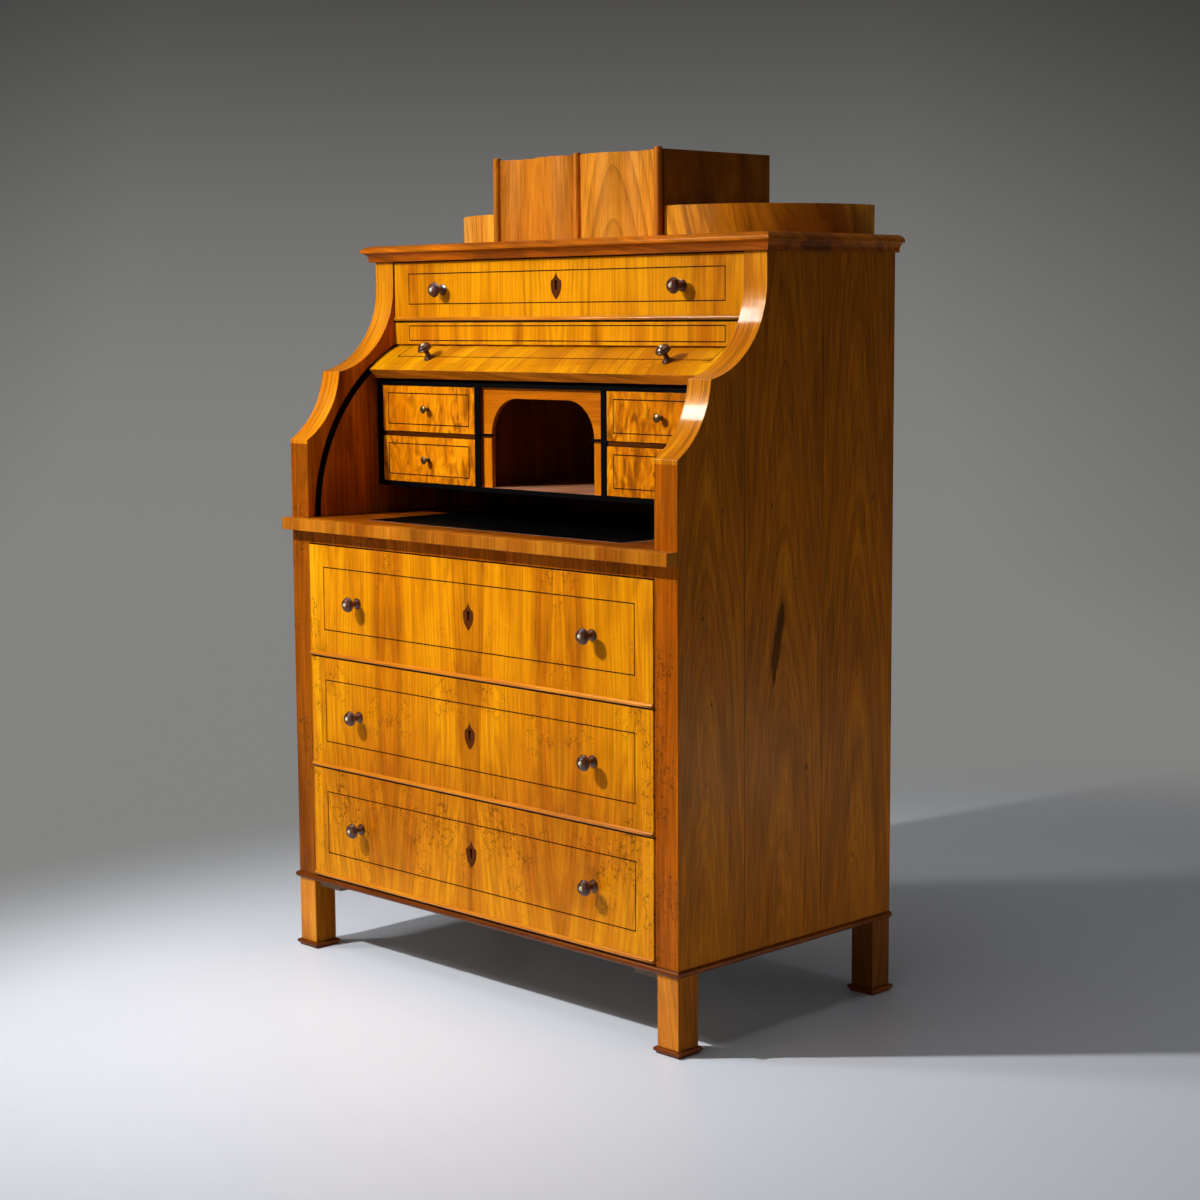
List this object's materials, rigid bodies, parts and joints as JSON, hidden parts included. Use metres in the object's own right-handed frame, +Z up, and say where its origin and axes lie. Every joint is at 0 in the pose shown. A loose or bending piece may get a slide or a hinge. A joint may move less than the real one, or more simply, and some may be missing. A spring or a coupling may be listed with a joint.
{
  "type": "roll-top writing desk",
  "caption": "Cherry escritoire with long drawers, a pull-out leather writing slide, a curved roll in grooved sides, a pigeonhole cabinet with arched niche, and an attic with curved wings.",
  "frame": {"origin": "on the floor, under the middle of the whole desk", "axes": "+Z up, front towards -Y, +X to the right of someone facing the front"},
  "size_m": [0.985, 0.5508, 1.402],
  "materials": {
    "case_veneer": "polished cherry",
    "drawer_veneer": "polished figured cherry",
    "inner_wood": "plain planed softwood",
    "red_wood": "satin red-brown wood",
    "turned_wood": "polished dark turned wood",
    "shield_wood": "polished dark inlay",
    "black_wood": "ebonised",
    "black_leather": "smooth black",
    "brass": "aged brass",
    "iron": "dark iron"
  },
  "bodies": {
    "carcase": {"side_left": "case_veneer", "side_right": "case_veneer", "bottom_board": "inner_wood", "back_panel": "inner_wood", "front_rail": "case_veneer", "top_drawer_shelf": "inner_wood", "top_board": "case_veneer", "frieze_panel": "drawer_veneer", "base_moulding": "case_veneer", "cornice": "case_veneer", "legs": "case_veneer", "foot_pads": "case_veneer", "leg_blocks": "inner_wood", "dust_boards": "inner_wood", "drawer_guides": "inner_wood", "pigeonhole_boards": "red_wood", "pigeonhole_facings": "black_wood", "niche_arch": "drawer_veneer", "attic_case": "case_veneer", "attic_columns": "case_veneer", "attic_panels": "drawer_veneer", "attic_wings": "case_veneer"},
    "writing_slide": {"slide_board": "case_veneer", "slide_lip": "case_veneer", "writing_leather": "black_leather"},
    "roll": {"roll_panel": "drawer_veneer", "roll_rail": "case_veneer", "roll_knobs": "turned_wood"},
    "bottom_drawer": {"bottom_drawer_front": "drawer_veneer", "bottom_drawer_box": "inner_wood", "bottom_drawer_knobs": "turned_wood", "bottom_drawer_shield": "shield_wood", "bottom_drawer_lock": "iron"},
    "middle_drawer": {"middle_drawer_front": "drawer_veneer", "middle_drawer_box": "inner_wood", "middle_drawer_knobs": "turned_wood", "middle_drawer_shield": "shield_wood", "middle_drawer_lock": "iron"},
    "upper_drawer": {"upper_drawer_front": "drawer_veneer", "upper_drawer_box": "inner_wood", "upper_drawer_knobs": "turned_wood", "upper_drawer_shield": "shield_wood", "upper_drawer_lock": "iron"},
    "top_drawer": {"top_drawer_front": "drawer_veneer", "top_drawer_box": "inner_wood", "top_drawer_knobs": "turned_wood", "top_drawer_shield": "shield_wood", "top_drawer_lock": "iron"},
    "lower_left_drawer": {"lower_left_drawer_front": "drawer_veneer", "lower_left_drawer_box": "inner_wood", "lower_left_drawer_knob": "brass"},
    "lower_right_drawer": {"lower_right_drawer_front": "drawer_veneer", "lower_right_drawer_box": "inner_wood", "lower_right_drawer_knob": "brass"},
    "upper_left_drawer": {"upper_left_drawer_front": "drawer_veneer", "upper_left_drawer_box": "inner_wood", "upper_left_drawer_knob": "brass"},
    "upper_right_drawer": {"upper_right_drawer_front": "drawer_veneer", "upper_right_drawer_box": "inner_wood", "upper_right_drawer_knob": "brass"}
  },
  "joints": [
    {"name": "writing_slide_pull", "type": "slide", "parent": "carcase", "child": "writing_slide", "axis": [0, -1, 0], "range_m": [0, 0.25]},
    {"name": "roll_turn", "type": "hinge", "parent": "carcase", "child": "roll", "pos_m": [0, 0.10395, 0.7804], "axis": [-1, 0, 0], "range_deg": [-51.3, 0]},
    {"name": "bottom_drawer_pull", "type": "slide", "parent": "carcase", "child": "bottom_drawer", "axis": [0, -1, 0], "range_m": [0, 0.35]},
    {"name": "middle_drawer_pull", "type": "slide", "parent": "carcase", "child": "middle_drawer", "axis": [0, -1, 0], "range_m": [0, 0.35]},
    {"name": "upper_drawer_pull", "type": "slide", "parent": "carcase", "child": "upper_drawer", "axis": [0, -1, 0], "range_m": [0, 0.35]},
    {"name": "top_drawer_pull", "type": "slide", "parent": "carcase", "child": "top_drawer", "axis": [0, -1, 0], "range_m": [0, 0.18]},
    {"name": "lower_left_drawer_pull", "type": "slide", "parent": "carcase", "child": "lower_left_drawer", "axis": [0, -1, 0], "range_m": [0, 0.12]},
    {"name": "lower_right_drawer_pull", "type": "slide", "parent": "carcase", "child": "lower_right_drawer", "axis": [0, -1, 0], "range_m": [0, 0.12]},
    {"name": "upper_left_drawer_pull", "type": "slide", "parent": "carcase", "child": "upper_left_drawer", "axis": [0, -1, 0], "range_m": [0, 0.12]},
    {"name": "upper_right_drawer_pull", "type": "slide", "parent": "carcase", "child": "upper_right_drawer", "axis": [0, -1, 0], "range_m": [0, 0.12]}
  ]
}
